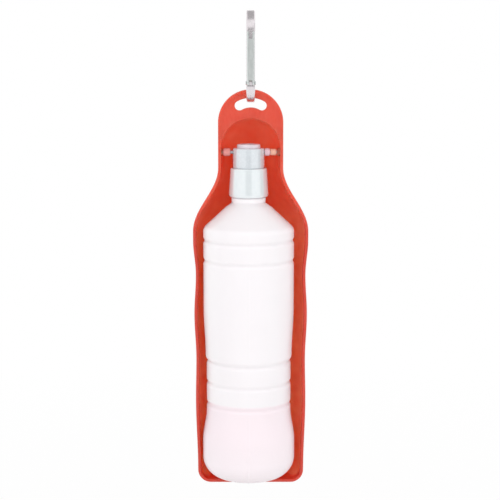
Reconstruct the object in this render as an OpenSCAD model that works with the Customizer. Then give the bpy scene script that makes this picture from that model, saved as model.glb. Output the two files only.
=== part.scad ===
// Dog travel water bottle, stowed and hanging: a squeeze bottle lies in a drinking tray, its cap turns on
// two pins in the head of the tray, and a small carabiner goes through the slot above.
// Millimetres. X is to the right, Y away from the viewer and Z up. The origin is the place inside the top
// bow of the carabiner where a belt loop or a hook carries it.

/* [Bottle] */
// Greatest radius of the bottle, at its foot
bottle_r = 32.4; // [26:0.1:39]
// Height of the bottle body, from its base to the edge of the shoulder
body_h = 179.2; // [149:0.1:215]
// Height of the sloping shoulder
shoulder_h = 14.3; // [12:0.1:17]
// Thickness of the bottle wall
bottle_t = 1; // [0.8:0.1:1.2]
// Radius of the rounded foot of the bottle
foot_round = 15; // [10:0.5:18]
// How far the long upper body stands in from the greatest radius
body_in = 1.1; // [0.5:0.1:2]
// How far the ribbed grip stands in from the greatest radius
grip_in = 3.1; // [2:0.1:4]
// Depth of the round grooves
groove_d = 0.9; // [0.4:0.1:1.2]
// Width of the round grooves
groove_w = 4.6; // [3.5:0.1:6]
// Height of the lowest groove above the base
groove_z = 53.6; // [50:0.1:60]
// Spacing of the three grooves of the grip
groove_pitch = 15.1; // [12:0.1:16]
// Drop of the highest groove below the shoulder edge
top_groove_drop = 11.2; // [9:0.1:14]
// Spacing of the two upper grooves
top_groove_pitch = 14; // [10:0.1:18]

/* [Neck and cap] */
// Outer radius of the bottle neck
neck_r = 10.9; // [9.5:0.1:11.2]
// Thickness of the neck wall
neck_t = 1.5; // [1.2:0.1:2]
// Bare neck between the shoulder and the cap
neck_show = 4.4; // [3:0.1:5.5]
// Height of the screw cap
cap_h = 19.8; // [17:0.1:23]
// Outer radius of the cap at its top
cap_top_r = 13; // [12.6:0.1:13.6]
// Outer radius of the cap at its lower edge
cap_low_r = 14.7; // [14:0.1:15.6]
// Thickness of the top of the cap
cap_top_t = 1.8; // [1.5:0.1:2.5]
// Thickness of the sealing gasket
gasket_t = 1.2; // [0.8:0.1:2]
// Outer radius of the spout on the cap
spout_r = 7; // [6.4:0.1:7.4]
// Radius of the water way in the spout
spout_bore_r = 4.4; // [3.5:0.1:5]
// Outer radius of the pivot collar
collar_r = 10.8; // [10.2:0.1:11.6]
// Height of the pivot collar
collar_h = 13.6; // [12:0.1:16]
// Outer radius of the outlet ring
outlet_r = 7.7; // [7.5:0.1:8.4]
// Height of the outlet ring above the collar
outlet_h = 2.6; // [2:0.1:4]
// Thickness of the silicone valve
valve_t = 1; // [0.8:0.1:1.2]

/* [Pivot] */
// Diameter of the two pivot pins
pin_d = 2.5; // [2:0.1:3]
// Depth of the pins in the collar
pin_grip = 3; // [2.4:0.1:3.2]
// Drop of the pins below the top of the collar
pin_drop = 2.8; // [2.4:0.1:4]
// Sideways place of the bottle between the walls, left of the middle
bottle_shift = 1.4; // [0:0.1:1.8]
// Diameter of the left spacer
left_spacer_d = 6.3; // [5:0.1:7]
// Length of the left spacer
left_spacer_l = 4.2; // [3:0.1:5]
// Diameter of the inner spacer on the right
inner_spacer_d = 5.9; // [5:0.1:7]
// Length of the inner spacer on the right
inner_spacer_l = 3.9; // [3:0.1:4.2]
// Diameter of the outer spacer on the right
outer_spacer_d = 4.6; // [4:0.1:6]
// Length of the outer spacer on the right
outer_spacer_l = 3.7; // [3:0.1:4]
// Diameter of the pin bosses on the walls
boss_d = 5; // [4.4:0.1:6]

/* [Tray] */
// Thickness of the tray wall
tray_t = 1.7; // [1.4:0.1:2]
// Width of the rim of the tray
rim_w = 2.1; // [2:0.1:2.6]
// Depth of the straight rim in front of the trough
rim_h = 5; // [4:0.1:6]
// Radius of the corner between the end wall and the sides
corner_r = 9; // [5:0.5:12]
// Swell of the tray at the shoulders, past the narrowest trough
shoulder_swell = 2.7; // [1:0.1:4]
// Swell at the upper waist
waist_swell = 0.9; // [0:0.1:2]
// Swell between the two waists
middle_swell = 2.05; // [0:0.05:3]
// Swell at the lower waist
grip_swell = 0.85; // [0:0.05:2]
// Swell below the lower waist
lower_swell = 1.3; // [0:0.1:3]
// Radius of the recess in the head
recess_r = 20.1; // [19.5:0.1:22]
// Rise of the recess centre above the pins
recess_rise = 2.9; // [2:0.1:5]
// Rise of the head's round top above the recess centre
head_rise = 17.6; // [15:0.1:20]
// Thickness of the flange in the head
flange_t = 2.5; // [2:0.1:3]
// Height of the bridge above the slot
bridge_h = 5.7; // [5:0.1:6.5]
// Radius of the slot's curved middle line
slot_curve_r = 15.5; // [14:0.1:18]
// Width of the slot from end to end
slot_w = 21.7; // [18:0.1:24]
// Height of the slot
slot_h = 6.4; // [5.6:0.1:7]

/* [Carabiner] */
// Width of the carabiner's flat bar
bar_w = 6; // [5.4:0.1:6.4]
// Thickness of the carabiner's flat bar
bar_t = 2.8; // [2.6:0.1:3.2]
// Radius of the lower bow's middle line
low_bow_r = 11.6; // [10.8:0.1:13]
// Radius of the upper bow's middle line
top_bow_r = 13.6; // [12:0.1:15]
// Height from the centre of the lower bow to the centre of the upper bow
bow_span = 33.8; // [30:0.1:40]
// Width of the gate
gate_w = 5.2; // [4.8:0.1:5.4]
// Thickness of the gate
gate_t = 3.6; // [3.4:0.1:3.8]
// Diameter of the gate's rivet
rivet_d = 1.3; // [1.1:0.1:1.4]
// Diameter of the rivet's heads
rivet_head_d = 3.2; // [2.6:0.1:3.6]
// Diameter of the latch pin
latch_d = 1.2; // [1:0.1:1.3]
// Thickness of the tongues at both ends of the bar
tongue_t = 2; // [1.8:0.1:2.2]

/* [Clearances] */
// Gap between the bottle and the narrowest trough
side_gap = 2.4; // [2.2:0.1:3]
// Gap between the base of the bottle and the end wall
end_gap = 2.1; // [1.8:0.1:3]
// Play between pieces that lie side by side
play = 0.3; // [0.2:0.05:0.4]
// Radial play of a pin in its bore
pin_play = 0.05; // [0.02:0.01:0.1]

/* [Hidden] */
$fn = 96;
// Overshoot of a cut past the face that it opens
cut = 1;

// Heights, counted from the outside of the tray's end wall
base_z = tray_t + end_gap;
edge_z = base_z + body_h;
neck_z = edge_z + shoulder_h;
cap_z = neck_z + neck_show;
collar_z = cap_z + cap_h;
collar_top_z = collar_z + collar_h;
pin_z = collar_top_z - pin_drop;
recess_z = pin_z + recess_rise;
head_z = recess_z + head_rise;
head_r = recess_r + rim_w;
tray_top_z = head_z + head_r;
neck_top_z = collar_z - cap_top_t - gasket_t;

// The tray's half width at a few heights, blended in between with level tangents
trough_r = bottle_r + side_gap;
foot_half = trough_r + rim_w;
shoulder_z = edge_z - 5;
shoulder_low_z = shoulder_z - 6;
waist_z = shoulder_low_z - 24;
middle_z = waist_z - 28;
grip_z = middle_z - 31;
lower_z = grip_z - 29;
head_base_z = pin_z - 10.3;
tray_stations = [
    [corner_r, foot_half],
    [lower_z, foot_half + lower_swell],
    [grip_z, foot_half + grip_swell],
    [middle_z, foot_half + middle_swell],
    [waist_z, foot_half + waist_swell],
    [shoulder_low_z, foot_half + shoulder_swell],
    [shoulder_z, foot_half + shoulder_swell],
    [head_base_z, head_r],
    [tray_top_z, head_r]
];
// Spacing of the outline's points along a side, and the turn from point to point on a round corner
side_step = 3;
arc_step = 6;
// Inset of the trough's outside from the edge of the rim, which leaves a lip all round
lip = rim_w - tray_t;

// The bottle's radius at a few heights above its base
body_r = bottle_r - body_in;
grip_r = bottle_r - grip_in;
grip_top = groove_z + 2 * groove_pitch;
bottle_stations = [
    [0, bottle_r],
    [groove_z - 27, bottle_r],
    [groove_z - 4, grip_r],
    [grip_top, grip_r],
    [grip_top + 4, grip_r + 0.7],
    [grip_top + 38, body_r],
    [body_h, body_r]
];
groove_heights = concat(
    [for (i = [0:2]) groove_z + i * groove_pitch],
    [for (i = [0:1]) body_h - top_groove_drop - i * top_groove_pitch]
);
body_step = 1.15;
edge_round = 5;
// A thicker band on the neck, in the gap between shoulder and cap
neck_band_r = neck_r + 0.8;
neck_band_z = 0.7;
neck_band_h = neck_show - neck_band_z - 0.5;

// Cap, collar and valve
cap_bore_r = neck_r + 1;
gasket_r = cap_bore_r - 0.1;
spout_top_z = collar_top_z - 2;
collar_bore_r = spout_r + 0.1;
valve_r = spout_r - 0.2;
valve_dome_r = spout_bore_r - 0.2;
valve_rise = 0.9;
outlet_bore_r = spout_bore_r + 0.4;

// Sideways places on the pivot, from the middle of the tray
collar_left_x = -bottle_shift - collar_r;
collar_right_x = -bottle_shift + collar_r;
pin_end_x = head_r - lip - play;
left_spacer_x = collar_left_x - 2.4;
left_boss_x = left_spacer_x - left_spacer_l - play;
inner_spacer_x = collar_right_x + play;
outer_spacer_x = inner_spacer_x + inner_spacer_l + play;
right_boss_x = outer_spacer_x + outer_spacer_l + play;

// Slot and carabiner
slot_top_z = tray_top_z - bridge_h;
slot_mid_z = slot_top_z - slot_h / 2;
slot_turn = asin((slot_w - slot_h) / 2 / slot_curve_r);
hook_y = flange_t / 2 - rim_h;
low_bow_z = slot_top_z - play + low_bow_r - bar_t / 2;
top_bow_z = low_bow_z + bow_span;
hang_z = top_bow_z + top_bow_r - bar_t / 2;
// The two straight sides lean by the same angle, because the bows differ in radius
side_lean = asin((top_bow_r - low_bow_r) / bow_span);
side_l = bow_span * cos(side_lean);
// The bows stop short of the front side by these angles, below the gate's hinge and above its upper end
low_stop = 6;
top_stop = 9;
// Places along the front side, from the lower end of its straight middle line
hinge_z = 1.2;
nose_z = side_l + top_bow_r * sin(top_stop);
gate_top = nose_z - 0.6;
latch_z = gate_top - 2.5;
latch_slot_z = gate_top - 4.7;
tongue_round = bar_t / 2 + 0.1;
plunger_d = 2.2;
plunger_z = hinge_z + tongue_round + 0.15;
plunger_l = 4;
spring_l = 9;
spring_wire = 0.3;
spring_turns = 9;
// Rounding of the edges of the bar and the gate, as a share of their thickness, and its flat steps
edge_share = 0.42;
section_steps = 5;
// Flat steps a turn and sides round the wire of the small spring
spring_steps = 12;
spring_sides = 6;

// A smooth step from a to b with level ends, as t goes from 0 to 1
function blend(a, b, t) = a + (b - a) * (1 - cos(180 * t)) / 2;

// The value at height z of a list of [height, value] stations, blended in between
function at_height(stations, z) =
    let (i = max([for (j = [0:len(stations) - 2]) if (j == 0 || stations[j][0] <= z) j]))
    let (a = stations[i])
    let (b = stations[i + 1])
    blend(a[1], b[1], min(1, max(0, (z - a[0]) / (b[0] - a[0]))));

// A round groove's depth at height h from its middle
function groove_at(h) = abs(h) < groove_w / 2 ? groove_d * (1 + cos(360 * h / groove_w)) / 2 : 0;

function sum(v, i = 0) = i < len(v) ? v[i] + sum(v, i + 1) : 0;

// The bottle's radius at height h above its base, grooves taken out
function bottle_at(h) = at_height(bottle_stations, h) - sum([for (g = groove_heights) groove_at(h - g)]);

// Points of an arc in a plane, from angle a to angle b
function arc(centre, r, a, b) =
    let (n = ceil(abs(b - a) / arc_step))
    [for (i = [0:n]) centre + r * [cos(a + (b - a) * i / n), sin(a + (b - a) * i / n)]];

// A list of points without its first and last
function inside(points) = [for (i = [1:len(points) - 2]) points[i]];

// Slope of the tray's half width at height z
function tray_slope(z) = (at_height(tray_stations, z + 0.1) - at_height(tray_stations, z - 0.1)) / 0.2;

// A point of the tray's side at height z, moved inwards by d at a right angle to the side
function side_point(z, d) =
    let (s = tray_slope(z))
    [at_height(tray_stations, z), z] + d * [-1, s] / sqrt(1 + s * s);

// One side of the tray inset by d, from the end wall up to a quarter circle about the height top, which
// stops half a step short of the middle line to leave a short level piece there
function side_points(d, top) =
    let (n = ceil((top - corner_r) / side_step))
    concat(
        arc([foot_half - corner_r, corner_r], corner_r - d, -90, 0),
        [for (i = [1:n - 1]) side_point(corner_r + (top - corner_r) * i / n, d)],
        arc([0, top], head_r - d, 0, 90 - arc_step / 2)
    );

// The tray's outline inset by d, closed by a half circle about the height top
module outline(d, top) {
    side = side_points(d, top);
    other = [for (i = [len(side) - 1:-1:0]) [-side[i][0], side[i][1]]];
    polygon(concat(side, other));
}

// Half of that outline, from the middle line outwards, for turning about the trough's axis
module half_outline(d, top) {
    side = side_points(d, top);
    polygon(concat([[0, d]], side, [[0, side[len(side) - 1][1]]]));
}

// Moves what is built from the tray's end wall to the origin at the hanging point
module placed() {
    translate([0, -hook_y, -hang_z]) children();
}

// Draws a shape of the XZ plane from y = from back to y = to
module slab(from, to) {
    translate([0, to, 0]) rotate([90, 0, 0]) linear_extrude(to - from) children();
}

// A round rod along X, from x = a to x = b, at the pivot's height
module pivot_rod(a, b, d) {
    translate([a, 0, pin_z]) rotate([0, 90, 0]) cylinder(d = d, h = b - a);
}

// A bored bead on the pivot
module spacer(a, b, d) {
    difference() {
        pivot_rod(a, b, d);
        pivot_rod(a - cut, b + cut, pin_d + 2 * pin_play);
    }
}

// The curved slot in the head, round at both ends
module slot_shape() {
    right = 90 - slot_turn;
    left = 90 + slot_turn;
    r = slot_h / 2;
    translate([0, slot_mid_z - slot_curve_r]) polygon(concat(
        arc([0, 0], slot_curve_r + r, right, left),
        inside(arc(slot_curve_r * [cos(left), sin(left)], r, left, left + 180)),
        arc([0, 0], slot_curve_r - r, left, right),
        inside(arc(slot_curve_r * [cos(right), sin(right)], r, right + 180, right + 360))
    ));
}

// The trough is a half turn of its wall's profile. In front of it stands a straight rim, whose head closes
// to a flange with the slot for the carabiner.
module tray() {
    color("#d2402f") placed() difference() {
        union() {
            rotate_extrude(angle = 180) difference() {
                half_outline(lip, recess_z);
                half_outline(rim_w, recess_z);
            }
            difference() {
                slab(-rim_h, 0) outline(0, head_z);
                slab(-rim_h - cut, cut) outline(rim_w, recess_z);
                slab(-rim_h + flange_t, cut) difference() {
                    outline(rim_w, head_z);
                    outline(lip, recess_z);
                }
            }
            pivot_rod(-head_r + rim_w / 2, left_boss_x, boss_d);
            pivot_rod(right_boss_x, head_r - rim_w / 2, boss_d);
        }
        slab(-rim_h - cut, cut) slot_shape();
        pivot_rod(-head_r - cut, -recess_r + boss_d, pin_d + 2 * pin_play);
        pivot_rod(recess_r - boss_d, head_r + cut, pin_d + 2 * pin_play);
    }
}

// Sets a piece on the axis of the bottle
module on_bottle() {
    placed() translate([-bottle_shift, 0, 0]) children();
}

// Half of the bottle's profile. The wall is the difference of this at inset 0 and at the wall's thickness.
module bottle_profile(inset, neck_inset, top) {
    heights = [for (i = [0:floor((body_h - edge_round - foot_round) / body_step)]) foot_round + i * body_step];
    // The slope runs from the rounded edge to the neck
    slope = atan2(shoulder_h, body_r - neck_r - 1);
    polygon(concat(
        [[0, inset]],
        arc([bottle_r - foot_round, foot_round], foot_round - inset, -90, 0),
        [for (h = heights) if (h > foot_round) [bottle_at(h) - inset, h]],
        arc([body_r - edge_round, body_h - edge_round], edge_round - inset, 0, 90 - slope),
        [[neck_r + 1 - inset / 2, body_h + shoulder_h - inset]],
        [[neck_r - neck_inset, body_h + shoulder_h + 0.6 - inset]],
        [[neck_r - neck_inset, top], [0, top]]
    ));
}

// A thin blow-moulded bottle with a grip of three grooves, two grooves above and a plain neck
module bottle() {
    neck_top = neck_top_z - base_z;
    color("#f4f1f3") on_bottle() translate([0, 0, base_z]) rotate_extrude() union() {
        difference() {
            bottle_profile(0, 0, neck_top);
            bottle_profile(bottle_t, neck_t, neck_top + cut);
        }
        translate([neck_r - neck_t / 2, body_h + shoulder_h + neck_band_z])
            square([neck_band_r - neck_r + neck_t / 2, neck_band_h]);
    }
}

// A tapered skirt over the neck, with a flared lower edge, and a spout on top
module screw_cap() {
    edge = 1.2;
    color("#e4e7ea") on_bottle() translate([0, 0, cap_z]) rotate_extrude() difference() {
        polygon(concat(
            [[0, 0], [cap_low_r + 0.3, 0], [cap_low_r + 0.3, edge], [cap_low_r - 0.1, edge + 0.4]],
            arc([cap_top_r - 1, cap_h - 1], 1, 0, 90),
            [[spout_r, cap_h], [spout_r, spout_top_z - cap_z], [0, spout_top_z - cap_z]]
        ));
        translate([0, -cut]) square([cap_bore_r, cap_h - cap_top_t + cut]);
        square([spout_bore_r, cap_h + collar_h]);
    }
}

// A flat ring pressed between the neck and the top of the cap
module cap_gasket() {
    color("#d8d8d4") on_bottle() translate([0, 0, neck_top_z]) difference() {
        cylinder(r = gasket_r, h = gasket_t);
        translate([0, 0, -cut]) cylinder(r = neck_r - neck_t, h = gasket_t + 2 * cut);
    }
}

// The thick ring on the spout that holds the two pins
module pivot_collar() {
    color("#dfe5e9") on_bottle() difference() {
        rotate_extrude() polygon(concat(
            [[collar_bore_r, collar_z], [collar_r, collar_z]],
            arc([collar_r - 1, collar_top_z - 1], 1, 0, 90),
            [[collar_bore_r, collar_top_z]]
        ));
        for (side = [-1, 1])
            translate([side * (collar_r - pin_grip), 0, pin_z]) rotate([0, side * 90, 0])
                cylinder(d = pin_d + 2 * pin_play, h = pin_grip + cut);
    }
}

// The silicone valve: a flat rim clamped on the spout and a low dome that opens when the bottle is squeezed
module slit_valve() {
    color("#f2efe9") on_bottle() translate([0, 0, spout_top_z]) {
        difference() {
            cylinder(r = valve_r, h = valve_t);
            translate([0, 0, -cut]) cylinder(r = valve_dome_r, h = valve_t + 2 * cut);
        }
        rotate_extrude() difference() {
            valve_arch(valve_t);
            translate([0, -valve_t]) valve_arch(valve_t);
        }
    }
}

// Half of a low arch whose edge is at height h
module valve_arch(h) {
    steps = 6;
    polygon(concat(
        [[0, -h], [valve_dome_r, -h]],
        [for (i = [0:steps]) [valve_dome_r * (1 - i / steps), h + valve_rise * sin(90 * i / steps)]]
    ));
}

// The ring that clamps the valve, with a lip that stands on the collar
module outlet_ring() {
    color("#eceef0") on_bottle() rotate_extrude() polygon([
        [outlet_bore_r, spout_top_z + valve_t],
        [valve_r, spout_top_z + valve_t],
        [valve_r, collar_top_z],
        [outlet_r, collar_top_z],
        [outlet_r, collar_top_z + outlet_h - 0.8],
        [outlet_r - 0.8, collar_top_z + outlet_h],
        [outlet_bore_r + 0.6, collar_top_z + outlet_h],
        [outlet_bore_r, collar_top_z + outlet_h - 0.6]
    ]);
}

// The pins start in the collar and end just inside the outer face of the tray's wall
module left_pivot_pin() {
    color("#b9bcc0") placed() pivot_rod(-pin_end_x, collar_left_x + pin_grip - play, pin_d);
}

module right_pivot_pin() {
    color("#b9bcc0") placed() pivot_rod(collar_right_x - pin_grip + play, pin_end_x, pin_d);
}

module left_spacer() {
    color("#e9c3c0") placed() spacer(left_spacer_x - left_spacer_l, left_spacer_x, left_spacer_d);
}

module right_inner_spacer() {
    color("#e6e2ee") placed() spacer(inner_spacer_x, inner_spacer_x + inner_spacer_l, inner_spacer_d);
}

module right_outer_spacer() {
    color("#e8dfc4") placed() spacer(outer_spacer_x, outer_spacer_x + outer_spacer_l, outer_spacer_d);
}

// A flat section with well rounded edges, a along X and b along Y
module flat_section(a, b) {
    r = edge_share * min(a, b);
    polygon([
        for (corner = [0:3])
            let (x = (corner == 0 || corner == 3 ? 1 : -1) * (a / 2 - r))
            let (y = (corner < 2 ? 1 : -1) * (b / 2 - r))
            for (i = [0:section_steps])
                let (turn = 90 * (corner + i / section_steps))
                [x + r * cos(turn), y + r * sin(turn)]
    ]);
}

// An arc of the carabiner's bar in the YZ plane. Angles are counted from +Y towards +Z
module bow(height, r, from, to) {
    translate([0, hook_y, height]) rotate([0, 90, 0]) rotate([0, 0, from + 90])
        rotate_extrude(angle = to - from) translate([r, 0]) flat_section(bar_t, bar_w);
}

// The frame of the carabiner's front side: it starts level with the lower end of the rear side, with Z along
// the gate and Y towards the inside of the loop
module on_front_side() {
    translate([0, hook_y - low_bow_r * cos(side_lean), low_bow_z - low_bow_r * sin(side_lean)])
        rotate([side_lean, 0, 0]) children();
}

// A straight stretch of bar along Z. It reaches a little into the bows at its ends and is a hair thinner,
// so that it meets them inside their end faces.
module straight_bar(l, seam = 0.3) {
    translate([0, 0, -seam]) linear_extrude(l + 2 * seam) flat_section(bar_w - 0.04, bar_t - 0.04);
}

// A flat plate in the plane of the loop, of the tongues' thickness plus extra, drawn in (Y, Z)
module loop_plate(extra) {
    rotate([90, 0, 90]) linear_extrude(tongue_t + extra, center = true) children();
}

// A rod along X through the front side at height z
module cross_pin(d, l, z) {
    translate([-l / 2, 0, z]) rotate([0, 90, 0]) cylinder(d = d, h = l);
}

// The bent bar, with a drilled tongue for the gate's rivet below and a hooked tongue for its latch pin above
module carabiner_body() {
    notch = latch_d + 0.5;
    tongue_in = bar_t / 2 - 0.1;
    root_in = bar_t / 2 - 0.4;
    root_z = -low_bow_r * sin(low_stop) - 0.8;
    color("#a9adb0") placed() {
        bow(low_bow_z, low_bow_r, 180 + side_lean + low_stop, 360 - side_lean);
        bow(top_bow_z, top_bow_r, -side_lean, 180 + side_lean - top_stop);
        translate([0, hook_y + low_bow_r * cos(side_lean), low_bow_z - low_bow_r * sin(side_lean)])
            rotate([-side_lean, 0, 0]) straight_bar(side_l);
        on_front_side() {
            difference() {
                loop_plate(0) union() {
                    translate([-root_in, root_z]) square([2 * root_in, hinge_z - root_z]);
                    translate([0, hinge_z]) circle(r = tongue_round);
                }
                cross_pin(rivet_d + 2 * pin_play, 2 * bar_w, hinge_z);
            }
            difference() {
                loop_plate(0) union() {
                    translate([-tongue_in, latch_slot_z + 0.5])
                        square([2 * tongue_in, nose_z - latch_slot_z - 0.7]);
                    translate([-root_in, gate_top - cut]) square([2 * root_in, nose_z - gate_top + 0.8 + cut]);
                }
                loop_plate(cut) translate([-latch_d / 2 - 0.1, latch_z - notch / 2]) square([bar_w, notch]);
            }
        }
    }
}

// A flat bar with a round knuckle at the rivet, slotted at both ends to take the two tongues and bored for
// its plunger and spring
module carabiner_gate() {
    color("#bcc3c2") placed() on_front_side() difference() {
        intersection() {
            translate([0, 0, hinge_z - gate_t]) linear_extrude(gate_top - hinge_z + gate_t)
                flat_section(gate_w, gate_t);
            loop_plate(gate_w) union() {
                translate([-gate_w, hinge_z]) square([2 * gate_w, gate_top]);
                translate([0, hinge_z]) circle(d = gate_t - 0.04);
            }
        }
        loop_plate(0.4) translate([-gate_w, hinge_z - gate_t]) square([2 * gate_w, plunger_z - hinge_z + gate_t + 0.25]);
        loop_plate(0.4) translate([-gate_w, latch_slot_z]) square([2 * gate_w, gate_top]);
        translate([0, 0, hinge_z]) cylinder(d = plunger_d + 0.2, h = plunger_z - hinge_z + plunger_l + spring_l);
        cross_pin(rivet_d + 2 * pin_play, 2 * gate_w, hinge_z);
        cross_pin(latch_d + 2 * pin_play, 2 * gate_w, latch_z);
    }
}

// A shank through both ears and the tongue, with a low head on each side
module gate_rivet() {
    head_h = 0.7;
    color("#8f9396") placed() on_front_side() {
        cross_pin(rivet_d, gate_w + 0.2, hinge_z);
        for (side = [-1, 1])
            translate([side * (gate_w / 2 + 0.1), 0, hinge_z]) rotate([0, side * 90, 0])
                cylinder(d1 = rivet_head_d, d2 = rivet_head_d - 1, h = head_h);
    }
}

module gate_latch_pin() {
    color("#8f9396") placed() on_front_side() cross_pin(latch_d, gate_w - 0.3, latch_z);
}

// The small pusher between the spring and the tongue
module gate_plunger() {
    color("#c9c3b4") placed() on_front_side() translate([0, 0, plunger_z]) cylinder(d = plunger_d, h = plunger_l);
}

// The gate's return spring, a helix of round wire
module gate_spring() {
    coil_r = (plunger_d - spring_wire) / 2 - 0.1;
    rise = spring_l - 0.2 - spring_wire;
    rings = spring_turns * spring_steps;
    points = [
        for (i = [0:rings])
            let (turn = 360 * i / spring_steps)
            for (j = [0:spring_sides - 1])
                let (a = 360 * j / spring_sides)
                let (r = coil_r + spring_wire / 2 * cos(a))
                [r * cos(turn), r * sin(turn), rise * i / rings + spring_wire / 2 * sin(a)]
    ];
    sides = [
        for (i = [0:rings - 1])
            for (j = [0:spring_sides - 1])
                let (k = (j + 1) % spring_sides)
                let (a = i * spring_sides)
                let (b = a + spring_sides)
                each [[a + j, b + j, a + k], [a + k, b + j, b + k]]
    ];
    ends = [
        for (j = [1:spring_sides - 2])
            each [[0, j, j + 1], [rings * spring_sides, rings * spring_sides + j + 1, rings * spring_sides + j]]
    ];
    color("#9a9da0") placed() on_front_side()
        translate([0, 0, plunger_z + plunger_l + 0.1 + spring_wire / 2]) polyhedron(points, concat(sides, ends));
}

tray();
bottle();
screw_cap();
cap_gasket();
pivot_collar();
slit_valve();
outlet_ring();
left_pivot_pin();
right_pivot_pin();
left_spacer();
right_inner_spacer();
right_outer_spacer();
carabiner_body();
carabiner_gate();
gate_rivet();
gate_latch_pin();
gate_plunger();
gate_spring();
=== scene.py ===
# %% [markdown]
# # A travel water bottle for a dog, stowed in its drinking tray
#
# A milky squeeze bottle lies in a long red tray. Its cap turns on two short pins in the head of the tray, so
# that the bottle folds out and the tray becomes a bowl. A small carabiner hangs the whole from a belt.
#
# A measured model of the object is loaded first, as a fixed frame. The lesson then makes a finer surface for
# each piece that shows, as numpy arrays, and gives every piece a finish built from shader nodes.

import bmesh
import bpy
import numpy as np
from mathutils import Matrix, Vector


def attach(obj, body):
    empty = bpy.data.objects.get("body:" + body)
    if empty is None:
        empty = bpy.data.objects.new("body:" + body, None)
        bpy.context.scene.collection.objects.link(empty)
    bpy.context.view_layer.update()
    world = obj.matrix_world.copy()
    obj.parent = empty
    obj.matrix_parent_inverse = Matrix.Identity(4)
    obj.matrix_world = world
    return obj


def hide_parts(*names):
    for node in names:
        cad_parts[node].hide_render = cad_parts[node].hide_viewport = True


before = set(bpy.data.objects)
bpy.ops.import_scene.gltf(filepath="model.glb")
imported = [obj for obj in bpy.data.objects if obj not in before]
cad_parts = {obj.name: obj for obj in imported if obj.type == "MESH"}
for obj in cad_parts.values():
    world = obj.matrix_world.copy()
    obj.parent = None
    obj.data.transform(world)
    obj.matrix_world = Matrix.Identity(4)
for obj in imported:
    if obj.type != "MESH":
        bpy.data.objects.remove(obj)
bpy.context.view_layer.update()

# %% [markdown]
# ## The camera
#
# The camera is made before anything else, because it decides what detail is worth making. The open side of
# the tray is seen a little from above: the slot's lower edge and the inside of the foot both show. A long
# lens a metre away keeps the sides of the tray nearly parallel, as a product photograph does.

# %% Place the camera
MM = 0.001
camera_place = Vector((-0.45, -986.3, -12.7)) * MM
camera_target = Vector((-0.45, 2.75, -160.5)) * MM  # close to the middle of the object
camera_data = bpy.data.cameras.new("camera")
camera_data.sensor_width = 36
camera_data.lens = 104.35
camera_data.clip_start = 0.05
camera_data.clip_end = 50
camera = bpy.data.objects.new("camera", camera_data)
camera.location = camera_place
camera.rotation_euler = (camera_target - camera_place).to_track_quat("-Z", "Y").to_euler()
bpy.context.scene.collection.objects.link(camera)
bpy.context.scene.camera = camera
print("camera distance:", round((camera_target - camera_place).length, 3), "m")

# %% [markdown]
# ## From arrays to meshes
#
# Every new piece is a surface on a grid: a numpy array of rows x columns x 3 coordinates. The first helper
# numbers the four corners of every grid cell. The second writes points and faces into a mesh in one go with
# `foreach_set`. The third welds the seams and poles and turns the faces outwards, and the last puts the mesh
# into the scene. A Python loop over the vertices would give the same mesh, but far more slowly.

# %% Helpers for grids
def grid_faces(rows, columns, rows_meet=False, columns_meet=False):
    """Corner numbers of the cells of a grid. Point (i, j) has number i * columns + j, and a cell joins the
    points (i, j), (i, j + 1), (i + 1, j + 1) and (i + 1, j). Where rows or columns meet, the last one joins
    the first."""
    i = np.arange(rows if rows_meet else rows - 1)
    j = np.arange(columns if columns_meet else columns - 1)
    i, j = (a.ravel() for a in np.meshgrid(i, j, indexing="ij"))
    this_row, next_row = i * columns, (i + 1) % rows * columns
    beside = (j + 1) % columns
    return np.stack([this_row + j, this_row + beside, next_row + beside, next_row + j], axis=1)


def make_mesh(name, shells):
    """One mesh from several shells. A shell is (grid in millimetres, rows meet, columns meet)."""
    points, faces, count = [], [], 0
    for grid, rows_meet, columns_meet in shells:
        rows, columns = grid.shape[:2]
        points.append(grid.reshape(-1, 3) * MM)
        faces.append(grid_faces(rows, columns, rows_meet, columns_meet) + count)
        count += rows * columns
    points, faces = np.concatenate(points), np.concatenate(faces)
    mesh = bpy.data.meshes.new(name)
    mesh.vertices.add(len(points))
    mesh.vertices.foreach_set("co", points.ravel())
    mesh.loops.add(faces.size)
    mesh.loops.foreach_set("vertex_index", faces.ravel())
    mesh.polygons.add(len(faces))
    mesh.polygons.foreach_set("loop_start", np.arange(0, faces.size, 4))
    mesh.update(calc_edges=True)
    clean(mesh)
    return mesh


def clean(mesh, apart=0.002):
    """Welds points less than `apart` millimetres from each other and turns the faces outwards."""
    work = bmesh.new()
    work.from_mesh(mesh)
    bmesh.ops.remove_doubles(work, verts=work.verts, dist=apart * MM)
    bmesh.ops.dissolve_degenerate(work, edges=work.edges, dist=apart * MM / 2)
    bmesh.ops.recalc_face_normals(work, faces=work.faces)
    open_edges = sum(not edge.is_manifold for edge in work.edges)
    work.to_mesh(mesh)
    work.free()
    if open_edges:
        print("open edges in", mesh.name, open_edges)


def make_piece(name, mesh, body, stands_for=(), sharp=40):
    """Puts a mesh into the scene as a smooth piece that rides on a body and stands for nodes of the measured
    model. Edges bent by more than `sharp` degrees stay sharp."""
    mesh.polygons.foreach_set("use_smooth", np.ones(len(mesh.polygons), bool))
    mesh.set_sharp_from_angle(angle=np.radians(sharp))
    piece = bpy.data.objects.new(name, mesh)
    bpy.context.scene.collection.objects.link(piece)
    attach(piece, body)
    if stands_for:
        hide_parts(*stands_for)
    print(f"{name}: {len(mesh.vertices)} points, {len(mesh.polygons)} faces, rides on {body}")
    return piece


# %% [markdown]
# ## Profiles and turning
#
# Bottles, caps, rings and beads are turned shapes. Real moulded edges are never knife sharp: a small round
# catches the light as a thin bright line, and that line tells the eye what size the thing is. So a profile is
# given by its corners and how much each is eased, and a helper rounds them before the profile is turned.

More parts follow.
